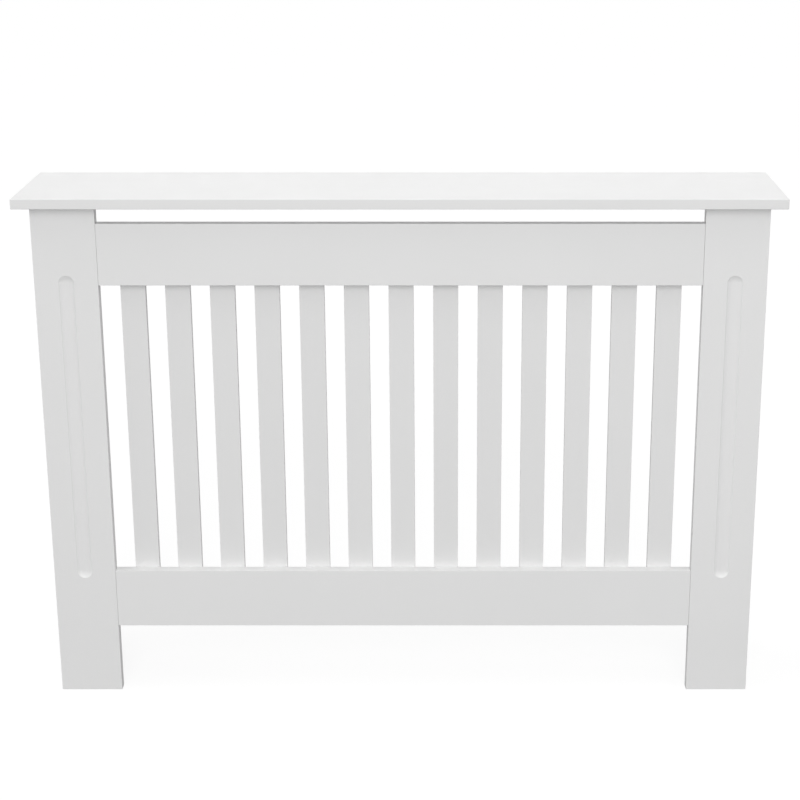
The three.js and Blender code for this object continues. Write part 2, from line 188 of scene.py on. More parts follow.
def apply_modifiers(obj):
    """Makes the modified mesh the object's own."""
    graph = bpy.context.evaluated_depsgraph_get()
    old = obj.data
    obj.data = bpy.data.meshes.new_from_object(obj.evaluated_get(graph))
    obj.modifiers.clear()
    bpy.data.meshes.remove(old)
    obj.data.name = obj.name


def discard(*objects):
    for obj in objects:
        mesh = obj.data
        bpy.data.objects.remove(obj)
        bpy.data.meshes.remove(mesh)


def carve(obj, cutters):
    """Cuts closed objects out of obj and deletes them."""
    for cutter in cutters:
        modifier = obj.modifiers.new("cut", "BOOLEAN")
        modifier.operation = "DIFFERENCE"
        modifier.solver = "EXACT"
        modifier.object = cutter
    apply_modifiers(obj)
    discard(*cutters)


def finish_shading(obj):
    """Smooth faces with true sharp edges, and flat faces that stay flat beside a rounded edge."""
    mesh = obj.data
    mesh.polygons.foreach_set("use_smooth", [True] * len(mesh.polygons))
    mesh.set_sharp_from_angle(angle=SHARP_ANGLE)
    weighted = obj.modifiers.new("weighted_normals", "WEIGHTED_NORMAL")
    weighted.keep_sharp = True
    apply_modifiers(obj)


def bridge(bm, ring_a, ring_b):
    """Quads between two closed rings of as many vertices."""
    count = len(ring_a)
    for i in range(count):
        j = (i + 1) % count
        bm.faces.new((ring_a[i], ring_a[j], ring_b[j], ring_b[i]))


def turned(name, rings, sides, wobble=None):
    """A closed solid turned about local Z from (radius, z) rings, ends capped. wobble gives the
    radius of a ring at an angle, for threads and grooves."""
    bm = bmesh.new()
    made = []
    for radius, z in rings:
        ring = []
        for i in range(sides):
            angle = 2 * math.pi * i / sides
            r = wobble(radius, z, angle) if wobble else radius
            ring.append(bm.verts.new((r * math.cos(angle), r * math.sin(angle), z)))
        made.append(ring)
    for lower, upper in zip(made, made[1:]):
        bridge(bm, lower, upper)
    bm.faces.new(made[0][::-1])
    bm.faces.new(made[-1])
    return object_from(name, bm)


def aimed(origin, direction, spin=0.0):
    """The matrix that puts local +Z along direction at origin, turned about it by spin."""
    turn = Vector(direction).to_track_quat("Z", "Y").to_matrix().to_4x4()
    return Matrix.Translation(Vector(origin)) @ turn @ Matrix.Rotation(spin, 4, "Z")


def bore(radius, start, end):
    """A round cutter from one point to another."""
    start, end = Vector(start), Vector(end)
    length = (end - start).length
    cutter = turned("bore", [(radius, 0), (radius, length)], BORE_SIDES)
    cutter.data.transform(aimed(start, end - start))
    return cutter


# ---------------------------------------------------------------- boards


def slab(name, node, arris):
    """The node's board with eased edges, in its CAD box."""
    lo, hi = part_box(node)
    bm = bmesh.new()
    bmesh.ops.create_cube(bm, size=1)
    place = Matrix.Translation((lo + hi) / 2) @ Matrix.Diagonal((*(hi - lo), 1))
    bmesh.ops.transform(bm, matrix=place, verts=bm.verts[:])
    bmesh.ops.bevel(
        bm,
        geom=bm.edges[:],
        offset=arris,
        offset_type="OFFSET",
        segments=ARRIS_STEPS,
        profile=ARRIS_PROFILE,
        affect="EDGES",
    )
    return object_from(name, bm)


def mark_board(obj, node, tone_and_shade):
    """Stores what the paint needs: the board's tone, which is random and on the slats also holds
    their painted shade, its cut edges, and the raw walls of its bores, which lie deeper than the
    flute."""
    lo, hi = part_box(node)
    size = hi - lo
    thin = min(range(3), key=lambda axis: size[axis])
    mesh = obj.data
    is_edge, is_raw = [], []
    for face in mesh.polygons:
        is_edge.append(float(abs(face.normal[thin]) < FLAT_SHARE))
        at = face.center
        depth = min(min(at[axis] - lo[axis], hi[axis] - at[axis]) for axis in range(3))
        is_raw.append(float(depth > FLUTE_DEPTH + CLEARANCE))
    face_tone_and_shade = [tone_and_shade] * len(is_edge)
    for name, values in (("cut_edge", is_edge), ("raw", is_raw), ("board_tone_and_shade", face_tone_and_shade)):
        mesh.attributes.new(name, "FLOAT", "FACE").data.foreach_set("value", values)


tones = random.Random(TONE_SEED)


def board(node, paint, cutters=(), arris=BOARD_ARRIS, tone_and_shade=0.0):
    obj = slab(node + "_painted", node, arris)
    if cutters:
        carve(obj, list(cutters))
    mark_board(obj, node, tone_and_shade + tones.uniform(-1, 1))
    finish_shading(obj)
    finished(obj, paint, "painted_board", node)


def finished(obj, material, slot, *nodes):
    obj.data.materials.clear()
    obj.data.materials.append(material)
    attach(obj, BODY)
    if nodes:
        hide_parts(*nodes)


def flute_profile(fullness):
    """(distance from the middle line, depth) from the bottom of the flute, up its curved wall and
    over its eased rim, to well above the face."""
    half = FLUTE_WIDTH / 2
    wall_angle = math.atan(fullness * FLUTE_DEPTH / half)
    rim_depth = FLUTE_RIM_RADIUS * (1 - math.cos(wall_angle))
    wall_x = half * (1 - rim_depth / FLUTE_DEPTH) ** (1 / fullness)
    rim_x = wall_x + FLUTE_RIM_RADIUS * math.sin(wall_angle)
    points = []
    for i in range(1, FLUTE_STEPS + 1):
        x = wall_x * i / FLUTE_STEPS
        points.append((x, FLUTE_DEPTH * (1 - (x / half) ** fullness)))
    for i in range(1, RIM_STEPS):
        a = wall_angle * (1 - i / RIM_STEPS)
        points.append((rim_x - FLUTE_RIM_RADIUS * math.sin(a), FLUTE_RIM_RADIUS * (1 - math.cos(a))))
    last, before = Vector(points[-1]), Vector(points[-2])
    slope = (last - before).normalized()
    out = last + slope * (last.y + FLUTE_RUN_OUT) / -slope.y
    points.append((out.x, out.y))
    points.append((out.x, -CUT_OVERRUN))
    return points


def flute_cutter(node):
    """A stopped flute down the middle of the post's face, its section blended into its ends."""
    lo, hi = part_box(node)
    middle_x = (lo.x + hi.x) / 2
    low_z = lo.z + FLUTE_FOOT_MARGIN + FLUTE_WIDTH / 2
    high_z = hi.z - FLUTE_TOP_MARGIN - FLUTE_WIDTH / 2
    bm = bmesh.new()
    low_end = bm.verts.new((middle_x, lo.y + FLUTE_DEPTH, low_z))
    high_end = bm.verts.new((middle_x, lo.y + FLUTE_DEPTH, high_z))
    half = FLUTE_END_SIDES
    rings = []
    for across, along in zip(flute_profile(FLUTE_FULLNESS), flute_profile(FLUTE_END_FULLNESS)):
        ring = []
        for end_z, start in ((high_z, 0.0), (low_z, math.pi)):
            for i in range(half + 1):
                angle = start + math.pi * i / half
                reach, depth = Vector(across).lerp(Vector(along), math.sin(angle) ** 2)
                x = middle_x + reach * math.cos(angle)
                z = end_z + reach * math.sin(angle)
                ring.append(bm.verts.new((x, lo.y + depth, z)))
        rings.append(ring)
    for inner, outer in zip(rings, rings[1:]):
        bridge(bm, inner, outer)
    first = rings[0]
    for i in range(half):
        bm.faces.new((high_end, first[i + 1], first[i]))
        bm.faces.new((low_end, first[half + 2 + i], first[half + 1 + i]))
    bm.faces.new((high_end, low_end, first[half + 1], first[half]))
    bm.faces.new((low_end, high_end, first[0], first[-1]))
    bm.faces.new(rings[-1])
    return object_from("flute_cutter", bm)


# ---------------------------------------------------------------- joints


def named(*parts):
    """The CAD nodes whose names hold all these words."""
    return [n for n in sorted(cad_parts) if all(p in n for p in parts)]


def long_axis(node):
    lo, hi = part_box(node)
    size = hi - lo
    return max(range(3), key=lambda axis: size[axis])


def ends(node):
    """The middle points of a long piece's two ends, lowest first."""
    lo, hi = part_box(node)
    axis = long_axis(node)
    middle = (lo + hi) / 2
    low, high = middle.copy(), middle.copy()
    low[axis], high[axis] = lo[axis], hi[axis]
    return low, high


def dowel_bore(node):
    low, high = ends(node)
    lo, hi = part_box(node)
    across = (long_axis(node) + 1) % 3
    radius = (hi[across] - lo[across]) / 2 + CLEARANCE
    step = (high - low).normalized() * CLEARANCE
    return bore(radius, low - step, high + step)


def cam_joint(bolt):
    """The point on the seam where a cam bolt crosses it, and the direction into the side panel."""
    low, high = ends(bolt)
    if long_axis(bolt) == 1:  # the thread is in the post, at the front
        into = Vector((0, 1, 0))
        tip = low
    else:  # the thread is in the shelf, at the top
        into = Vector((0, 0, -1))
        tip = high
    return tip + into * (SEAM + THREAD_LENGTH), into


def thread_bore(bolt):
    seam, into = cam_joint(bolt)
    depth = SEAM + THREAD_LENGTH + CLEARANCE
    return bore(THREAD_RADIUS + CLEARANCE, seam + into * SEAM, seam - into * depth)


def shank_bore(bolt):
    seam, into = cam_joint(bolt)
    return bore(COLLAR_RADIUS + CLEARANCE, seam - into * CUT_OVERRUN, seam + into * CAM_SETBACK)


def cam_pocket(nut):
    """The round pocket of a cam nut, open at the side panel's inner face."""
    lo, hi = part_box(nut)
    middle = (lo + hi) / 2
    side = math.copysign(1, middle.x)
    inner = lo.x if side > 0 else hi.x
    mouth = Vector((inner - side * CUT_OVERRUN, middle.y, middle.z))
    length = (hi.x - lo.x) + CUT_OVERRUN + CLEARANCE
    return bore(CAM_RADIUS + CLEARANCE, mouth, mouth + Vector((side * length, 0, 0)))


def painted_boards(paint):
    sides = ("left", "right")
    shelf_cutters = [thread_bore(n) for n in named("shelf_cam_bolt")]
    shelf_cutters += [dowel_bore(n) for n in named("shelf_dowel")]
    board("top_board", paint, shelf_cutters, SHELF_ARRIS)
    for side in sides:
        cutters = [flute_cutter(side + "_post")]
        cutters += [thread_bore(n) for n in named(side + "_post_cam_bolt")]
        cutters += [dowel_bore(n) for n in named(side + "_post_dowel")]
        cutters += [dowel_bore(n) for n in named("rail_" + side + "_dowel")]
        board(side + "_post", paint, cutters)
    for rail in ("top_rail", "bottom_rail"):
        board(rail, paint, [dowel_bore(n) for n in named(rail, "dowel")])
    for side in sides:
        bolts = named(side, "cam_bolt")
        cutters = [shank_bore(n) for n in bolts]
        cutters += [cam_pocket(n) for n in named(side, "cam_nut")]
        cutters += [dowel_bore(n) for n in named(side + "_post_dowel") + named(side + "_shelf_dowel")]
        board(side + "_side_panel", paint, cutters)
    for node in named("slat_"):
        # the slats' tone holds a painted shade that makes them greyer than the frame's same lacquer
        board(node, paint, tone_and_shade=SLAT_PAINTED_SHADE)


# ---------------------------------------------------------------- hardware


def thread_wobble(core, radius, pitch, start, end):
    """A radius function that raises a helical ridge between two heights."""
    def at(ring_radius, z, angle):
        if not start <= z <= end:
            return ring_radius
        phase = (z / pitch - angle / (2 * math.pi)) % 1.0
        ridge = max(0.0, 1 - abs(phase - 0.5) / THREAD_RIDGE)
        fade = min(1.0, (z - start) / pitch, (end - z) / pitch)
        return ring_radius + (radius - core) * ridge * max(0.0, fade)
    return at


def cam_bolt_mesh():
    """Local +Z runs from the seam into the side panel's edge."""
    tip = -SEAM - THREAD_LENGTH
    top = -SEAM + CLEARANCE
    collar = top + COLLAR_LENGTH
    neck = CAM_SETBACK - CAM_RADIUS - CLEARANCE
    head = CAM_SETBACK - HEAD_SEAT - BOLT_CHAMFER
    rings = [(THREAD_CORE * TIP_SHARE, tip), (THREAD_CORE, tip + TIP_LENGTH)]
    step = THREAD_PITCH / THREAD_STEPS
    count = int((THREAD_LENGTH - TIP_LENGTH) / step)
    rings += [(THREAD_CORE, tip + TIP_LENGTH + step * (i + 1)) for i in range(count)]
    rings += [
        (THREAD_CORE, top),
        (COLLAR_RADIUS - COLLAR_CHAMFER, top),
        (COLLAR_RADIUS, top + COLLAR_CHAMFER),
        (COLLAR_RADIUS, collar - COLLAR_CHAMFER),
        (COLLAR_RADIUS - COLLAR_CHAMFER, collar),
        (SHANK_RADIUS, collar),
        (SHANK_RADIUS, neck - BOLT_CHAMFER),
        (NECK_RADIUS, neck),
        (NECK_RADIUS, head),
        (HEAD_RADIUS, head + BOLT_CHAMFER),
        (HEAD_RADIUS, head + HEAD_LENGTH - BOLT_CHAMFER),
        (HEAD_RADIUS - BOLT_CHAMFER, head + HEAD_LENGTH),
    ]
    start, end = tip + TIP_LENGTH, top - THREAD_END_GAP
    wobble = thread_wobble(THREAD_CORE, THREAD_RADIUS, THREAD_PITCH, start, end)
    obj = turned("cam_bolt", rings, TURNED_SIDES, wobble)
    finish_shading(obj)
    return obj


def sector_cutter(name, reach, start, end, low, high, steps):
    """A slice of a disc between two angles."""
    bm = bmesh.new()
    outline = [(0.0, 0.0)]
    for i in range(steps + 1):
        a = start + (end - start) * i / steps
        outline.append((reach * math.cos(a), reach * math.sin(a)))
    bottom = [bm.verts.new((x, y, low)) for x, y in outline]
    top = [bm.verts.new((x, y, high)) for x, y in outline]
    bridge(bm, bottom, top)
    bm.faces.new(bottom[::-1])
    bm.faces.new(top)
    return object_from(name, bm)


def cross_cutters(length, width, depth, z):
    """Two tapered arms of a cross recess, sunk from height z."""
    levels = ((z - depth, *RECESS_FLOOR), (z + depth / 2, 1.0, 1.0))
    arms = []
    for turn in (0.0, math.pi / 2):
        bm = bmesh.new()
        layers = []
        for height, long_share, wide_share in levels:
            x, y = length / 2 * long_share, width / 2 * wide_share
            layers.append([bm.verts.new((sx * x, sy * y, height)) for sx, sy in SQUARE])
        bridge(bm, *layers)
        bm.faces.new(layers[0][::-1])
        bm.faces.new(layers[1])
        arm = object_from("cross_arm", bm)
        arm.data.transform(Matrix.Rotation(turn, 4, "Z"))
        arms.append(arm)
    return arms


def cam_nut_mesh(panel_thickness):
    """The drum about local Z, its outer face at 0. The bolt comes from local -Y."""
    bolt_z = -panel_thickness / 2
    neck_room = NECK_RADIUS + CLEARANCE
    head_room = HEAD_RADIUS + CLEARANCE
    chamber = math.hypot(HEAD_RADIUS, HEAD_SEAT) + CLEARANCE
    length = panel_thickness - CAM_FLOOR
    rings = [
        (CAM_RADIUS - CAM_RIM, -length),
        (CAM_RADIUS, -length + CAM_RIM),
        (CAM_RADIUS, -CAM_RIM),
        (CAM_RADIUS - CAM_RIM, 0),
    ]
    drum = turned("cam_nut", rings, 2 * TURNED_SIDES)
    locked = -math.pi / 2
    mouth_angle = locked + CAM_TURN
    slot_start = locked - math.asin(neck_room / chamber)
    reach = CAM_RADIUS + CUT_OVERRUN
    slot = sector_cutter(
        "slot", reach, slot_start, mouth_angle, bolt_z - neck_room, bolt_z + neck_room, CAM_SLOT_STEPS
    )
    middle = Vector((0, 0, bolt_z))
    mouth_way = Vector((math.cos(mouth_angle), math.sin(mouth_angle), 0))
    rise = Vector((0, 0, head_room))
    dish_rings = [(DISH_RADIUS - DISH_DEPTH, -DISH_DEPTH), (DISH_RADIUS + DISH_DEPTH, DISH_DEPTH)]
    cutters = [
        bore(chamber, middle - rise, middle + rise),
        slot,
        bore(head_room, middle, middle + mouth_way * reach),
        turned("dish", dish_rings, TURNED_SIDES),
        *cross_cutters(RECESS_LENGTH, RECESS_WIDTH, RECESS_DEPTH, -DISH_DEPTH),
    ]
    carve(drum, cutters)
    finish_shading(drum)
    return drum


def copy_of(pattern, name, matrix):
    mesh = pattern.data.copy()
    mesh.transform(matrix)
    mesh.name = name
    return new_object(name, mesh)


def cam_fittings(steel):
    lo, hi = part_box("left_side_panel")
    bolt_pattern = cam_bolt_mesh()
    nut_pattern = cam_nut_mesh(hi.x - lo.x)
    for bolt in named("cam_bolt"):
        seam, into = cam_joint(bolt)
        obj = copy_of(bolt_pattern, bolt + "_turned", aimed(seam, into))
        finished(obj, steel, "zinc_steel", bolt)
    for nut in named("cam_nut"):
        lo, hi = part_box(nut)
        middle = (lo + hi) / 2
        side = math.copysign(1, middle.x)
        face = Vector((lo.x if side > 0 else hi.x, middle.y, middle.z))
        # Local +Z is the drum's outer face, which looks inwards. Local -Y is where the bolt is.
        bolt_way = Vector((0, -1, 0)) if "post" in nut else Vector((0, 0, 1))
        z_axis = Vector((-side, 0, 0))
        y_axis = -bolt_way
        x_axis = y_axis.cross(z_axis)
        turn = Matrix((x_axis, y_axis, z_axis)).transposed().to_4x4()
        obj = copy_of(nut_pattern, nut + "_cast", Matrix.Translation(face) @ turn)
        finished(obj, steel, "zinc_steel", nut)
    discard(bolt_pattern, nut_pattern)


def dowels(beech):
    for node in named("_dowel"):
        low, high = ends(node)
        lo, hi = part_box(node)
        across = (long_axis(node) + 1) % 3
        radius = (hi[across] - lo[across]) / 2
        length = (high - low).length
        end = DOWEL_CHAMFER
        rings = [(radius - end, 0), (radius, end), (radius, length - end), (radius - end, length)]

        def grooved(ring_radius, z, angle):
            wave = (1 - math.cos(angle * DOWEL_GROOVES)) / 2
            return ring_radius - DOWEL_FLUTE * wave**DOWEL_GROOVE_POWER

        sides = DOWEL_GROOVES * DOWEL_SIDES_PER_GROOVE
        obj = turned(node + "_grooved", rings, sides, grooved)
        finish_shading(obj)
        obj.matrix_world = aimed(low, high - low)
        finished(obj, beech, "beech_dowel", node)


def bracket(node, side, steel):
    """A folded strip with one leg on the side panel and one on the wall, its corners broken."""
    lo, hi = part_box(node)
    leg = hi.x - lo.x
    outer = BRACKET_BEND + BRACKET_THICKNESS
    inner = BRACKET_BEND
    corner = Vector((hi.x if side > 0 else lo.x, hi.y))
    outline = [(leg, 0), (leg, BRACKET_THICKNESS)]
    for i in range(BRACKET_BEND_STEPS + 1):
        a = -math.pi / 2 * (1 + i / BRACKET_BEND_STEPS)
        outline.append((outer + inner * math.cos(a), outer + inner * math.sin(a)))
    outline += [(BRACKET_THICKNESS, leg), (0, leg)]
    for i in range(BRACKET_BEND_STEPS + 1):
        a = math.pi * (1 + i / BRACKET_BEND_STEPS / 2)
        outline.append((outer + outer * math.cos(a), outer + outer * math.sin(a)))
    bm = bmesh.new()
    flat = [(corner.x - side * u, corner.y - v) for u, v in outline]
    bottom = [bm.verts.new((x, y, lo.z)) for x, y in flat]
    top = [bm.verts.new((x, y, hi.z)) for x, y in flat]
    bridge(bm, bottom, top)
    bm.faces.new(bottom[::-1])
    bm.faces.new(top)
    obj = object_from(node + "_folded", bm)
    middle_z = (lo.z + hi.z) / 2
    inset = leg - BRACKET_HOLE_INSET
    panel_hole = Vector((corner.x, corner.y - inset, middle_z))
    wall_hole = Vector((corner.x - side * inset, corner.y, middle_z))
    through_x = Vector((side * (BRACKET_THICKNESS + CUT_OVERRUN), 0, 0))
    through_y = Vector((0, BRACKET_THICKNESS + CUT_OVERRUN, 0))
    carve(obj, [
        bore(BRACKET_HOLE_RADIUS, panel_hole + through_x, panel_hole - through_x),
        bore(BRACKET_HOLE_RADIUS, wall_hole + through_y, wall_hole - through_y),
    ])
    arris = obj.modifiers.new("arris", "BEVEL")
    arris.width = BRACKET_ARRIS
    arris.segments = BRACKET_ARRIS_STEPS
    arris.limit_method = "ANGLE"
    arris.angle_limit = SHARP_ANGLE
    apply_modifiers(obj)
    finish_shading(obj)
    finished(obj, steel, "zinc_steel", node)
    return panel_hole


def bracket_screw(name, seat, into, steel):
    """A pan-head screw: local +Z runs into the side panel, the head's underside at 0."""
    height = SCREW_HEAD_HEIGHT
    rings = []
    for i in range(SCREW_DOME_STEPS):
        a = math.pi / 2 * i / SCREW_DOME_STEPS
        share = SCREW_DOME_TOP + (1 - SCREW_DOME_TOP) * math.sin(a)
        drop = SCREW_DOME_HEIGHT * (1 - math.cos(a))
        rings.append((SCREW_HEAD_RADIUS * share, height * (drop - 1)))
    rings += [
        (SCREW_HEAD_RADIUS, -height * SCREW_SKIRT_HEIGHT),
        (SCREW_HEAD_RADIUS * SCREW_UNDERSIDE, 0),
        (SCREW_CORE, 0),
    ]
    step = SCREW_PITCH / THREAD_STEPS
    tip = SCREW_PITCH * SCREW_TIP_TURNS
    count = int((SCREW_LENGTH - tip) / step)
    rings += [(SCREW_CORE, step * (i + 1)) for i in range(count)]
    for share, z in zip(SCREW_TIP_SHARES, (SCREW_LENGTH - tip / 2, SCREW_LENGTH)):
        rings.append((SCREW_CORE * share, z))
    wobble = thread_wobble(SCREW_CORE, SCREW_RADIUS, SCREW_PITCH, step, SCREW_LENGTH - tip)
    obj = turned(name, rings, TURNED_SIDES, wobble)
    obj.data.transform(Matrix.Rotation(math.pi, 4, "X"))
    carve(obj, cross_cutters(SCREW_RECESS, SCREW_RECESS_WIDTH, SCREW_RECESS_DEPTH, height))
    finish_shading(obj)
    obj.data.transform(aimed(seat, -Vector(into), SCREW_TURN))
    finished(obj, steel, "zinc_steel")


def brackets(steel):
    for side_name, side in (("left", -1), ("right", 1)):
        hole = bracket(side_name + "_wall_bracket", side, steel)
        seat = hole - Vector((side * BRACKET_THICKNESS, 0, 0))
        bracket_screw(side_name + "_bracket_screw", seat, (side, 0, 0), steel)


def staple(bm, middle, tilt):
    """One staple: a flat crown on the slat's back, and two legs into the rail in front of it."""
    half = STAPLE_CROWN / 2
    wire = STAPLE_WIRE / 2
    thick = STAPLE_THICKNESS
    inner_bend = STAPLE_BEND
    outer_bend = STAPLE_BEND + thick
    # Outline in the plane of the crown and the legs: u across, v into the board.
    outer, inner = [], []
    for side in (-1, 1):
        u, v = side * (half - outer_bend), outer_bend
        angles = [math.pi / 2 * i / STAPLE_BEND_STEPS for i in range(STAPLE_BEND_STEPS + 1)]
        if side > 0:
            angles.reverse()
        for a in angles:
            outer.append((u + side * outer_bend * math.cos(a), v - outer_bend * math.sin(a)))
            inner.append((u + side * inner_bend * math.cos(a), v - inner_bend * math.sin(a)))
    outer = [(-half, STAPLE_LEG), *outer, (half, STAPLE_LEG)]
    inner = [(-half + thick, STAPLE_LEG - thick), *inner, (half - thick, STAPLE_LEG - thick)]
    outline = outer + inner[::-1]
    turn = Matrix.Rotation(tilt, 3, "Y")
    layers = []
    for w in (-wire, wire):
        layer = []
        for u, v in outline:
            across = turn @ Vector((u, 0, w))
            layer.append(bm.verts.new(middle + across + Vector((0, -v, 0))))
        layers.append(layer)
    bridge(bm, *layers)
    for layer in layers:
        count = len(outer)
        for i in range(count - 1):
            quad = (layer[i], layer[i + 1], layer[len(outline) - 2 - i], layer[len(outline) - 1 - i])
            bm.faces.new(quad)


def slat_staples(steel):
    for end_name, sign in (("lower", 1), ("upper", -1)):
        bm = bmesh.new()
        for node in named("slat_"):
            lo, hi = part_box(node)
            end_z = lo.z if sign > 0 else hi.z
            for inset in STAPLE_INSETS:
                middle = Vector(((lo.x + hi.x) / 2, hi.y + STAPLE_PROUD, end_z + sign * inset))
                middle.x += tones.uniform(-STAPLE_SHIFT_X, STAPLE_SHIFT_X)
                middle.z += tones.uniform(-STAPLE_SHIFT_Z, STAPLE_SHIFT_Z)
                staple(bm, middle, STAPLE_TILT * tones.uniform(-1, 1))
        obj = object_from("slat_staples_" + end_name, bm)
        finish_shading(obj)
        finished(obj, steel, "zinc_steel")


# ---------------------------------------------------------------- materials

NOISE_SPAN = (0.3, 0.7)  # where most of a noise's values lie

# White paint: its albedo, and what changes it
PAINT = 0.855
PAINT_CLOUD = 0.006  # either way, in soft clouds
PAINT_TONE = 0.006  # for one step of the board's tone: random, and on the slats their painted shade
PAINT_SKIN = 0.003  # either way, in the sprayed skin
PAINT_CUT = 0.012  # greyer on cut edges
PAINT_BLUE = 0.998  # by its red and green
PAINT_SPECULAR = 0.5
SKIN_SPAN = (0.35, 0.65)
TONE_SHIFT = (3.1, 1.7, 2.3)  # metres, so that no two boards share their clouds
PAINT_ROUGH = (0.40, 0.48)
CUT_ROUGH = 0.1  # rougher on cut edges
SKIN_ROUGH = 0.03  # either way
CLOUD_SCALE = 6.0  # all scales are in features by the metre
FLOW_SCALE = 45.0
SKIN_SCALE = 620.0
FLOW_HEIGHT = 0.04 * MM
SKIN_HEIGHT = 0.01 * MM

# Raw fibreboard in the bores
FIBRE_SCALE = 1500.0
FIBRE_HEIGHT = 0.012 * MM
FIBRE_DARK = (0.26, 0.17, 0.10)
FIBRE_PALE = (0.44, 0.32, 0.21)

# Zinc plate
MOTTLE_SCALE = 420.0
GRAIN_SCALE = 2600.0
SCRATCH_SCALE = 900.0
SCRATCH_STRETCH = (1.0, 1.0, 14.0)
SCRATCH_SPAN = (0.4, 0.7)
SCRATCH_ROUGH = 0.08
ZINC_ROUGH = (0.24, 0.36)
ZINC_HEIGHT = 0.01 * MM
ZINC_DARK = (0.30, 0.31, 0.33)
ZINC_PALE = (0.50, 0.51, 0.53)

# Beech
WOOD_STRETCH = (1.0, 1.0, 0.08)
RING_SCALE = 260.0
RING_SHARE = 0.65  # against the flecks
FLECK_SCALE = 1400.0
WOOD_ROUGH = (0.58, 0.78)
WOOD_HEIGHT = 0.06 * MM
BEECH_DARK = (0.46, 0.27, 0.14)
BEECH_PALE = (0.66, 0.44, 0.26)


def either_way(size):
    return (-size, size)


class Graph:
    """Short calls for the nodes of a material or a world."""

    def __init__(self, owner):
        owner.use_nodes = True
        self.owner = owner
        self.nodes = owner.node_tree.nodes
        self.links = owner.node_tree.links
        self.nodes.clear()

    def node(self, kind, inputs=None, **settings):
        made = self.nodes.new(kind)
        for key, value in settings.items():
            setattr(made, key, value)
        for key, value in (inputs or {}).items():
            if isinstance(value, bpy.types.NodeSocket):
                self.links.new(value, made.inputs[key])
            else:
                made.inputs[key].default_value = value
        return made

    def place(self):
        return self.node("ShaderNodeTexCoord").outputs["Object"]

    def attribute(self, name):
        return self.node("ShaderNodeAttribute", attribute_name=name).outputs["Fac"]

    def math(self, operation, a, b):
        return self.node("ShaderNodeMath", {0: a, 1: b}, operation=operation).outputs[0]

    def vector(self, operation, inputs):
        return self.node("ShaderNodeVectorMath", inputs, operation=operation).outputs[0]

    def between(self, value, span, result):
        """value from the two ends of span to the two ends of result."""
        inputs = dict(enumerate((value, *span, *result)))
        return self.node("ShaderNodeMapRange", inputs).outputs[0]

    def noise(self, vector, scale, detail, roughness):
        inputs = {"Vector": vector, "Scale": scale, "Detail": detail, "Roughness": roughness}
        return self.node("ShaderNodeTexNoise", inputs).outputs["Fac"]

    def colour(self, noise, dark, light):
        ramp = self.node("ShaderNodeValToRGB", {0: self.between(noise, NOISE_SPAN, (0.0, 1.0))})
        ramp.color_ramp.elements[0].color = (*dark, 1)
        ramp.color_ramp.elements[1].color = (*light, 1)
        return ramp.outputs["Color"]

    def bump(self, height, distance, strength, normal=None):
        inputs = {"Height": height, "Distance": distance, "Strength": strength}
        if normal is not None:
            inputs["Normal"] = normal
        return self.node("ShaderNodeBump", inputs).outputs["Normal"]

    def surface(self, shader):
        self.node("ShaderNodeOutputMaterial", {"Surface": shader})
        return self.owner

    def principled(self, inputs):
        return self.surface(self.node("ShaderNodeBsdfPrincipled", inputs).outputs[0])


def painted_board_material():
    """Satin white lacquer on fibreboard: a fine sprayed skin, rougher and greyer on cut edges."""
    g = Graph(bpy.data.materials.new("painted_board"))
    tone_and_shade = g.attribute("board_tone_and_shade")
    cut = g.attribute("cut_edge")
    shift = g.vector("SCALE", {0: TONE_SHIFT, "Scale": tone_and_shade})
    own = g.vector("ADD", {0: g.place(), 1: shift})

    cloud = g.noise(own, CLOUD_SCALE, detail=3.0, roughness=0.55)
    flow = g.noise(own, FLOW_SCALE, detail=2.0, roughness=0.5)
    skin = g.noise(own, SKIN_SCALE, detail=2.0, roughness=0.55)
    fibre = g.noise(own, FIBRE_SCALE, detail=2.0, roughness=0.6)

    level = g.between(cloud, NOISE_SPAN, (PAINT - PAINT_CLOUD, PAINT + PAINT_CLOUD))
    # the board's random tone, and on the slats their painted shade
    level = g.math("ADD", level, g.math("MULTIPLY", tone_and_shade, PAINT_TONE))
    level = g.math("SUBTRACT", level, g.math("MULTIPLY", cut, PAINT_CUT))
    level = g.math("ADD", level, g.between(skin, SKIN_SPAN, either_way(PAINT_SKIN)))
    blue = g.math("MULTIPLY", level, PAINT_BLUE)
    painted = g.node("ShaderNodeCombineColor", {0: level, 1: level, 2: blue}).outputs[0]
    brown = g.colour(fibre, FIBRE_DARK, FIBRE_PALE)
    mixed = {0: g.attribute("raw"), 6: painted, 7: brown}
    colour = g.node("ShaderNodeMix", mixed, data_type="RGBA").outputs[2]

    rough = g.between(flow, NOISE_SPAN, PAINT_ROUGH)
    rough = g.math("ADD", rough, g.math("MULTIPLY", cut, CUT_ROUGH))
    rough = g.math("ADD", rough, g.between(skin, NOISE_SPAN, either_way(SKIN_ROUGH)))

    wave = g.bump(flow, FLOW_HEIGHT, strength=0.6)
    peel = g.bump(skin, SKIN_HEIGHT, strength=0.5, normal=wave)
    fuzz = g.bump(g.math("MULTIPLY", fibre, cut), FIBRE_HEIGHT, strength=0.6, normal=peel)
    return g.principled({
        "Base Color": colour,
        "Roughness": rough,
        "Specular IOR Level": PAINT_SPECULAR,
        "Normal": fuzz,
    })


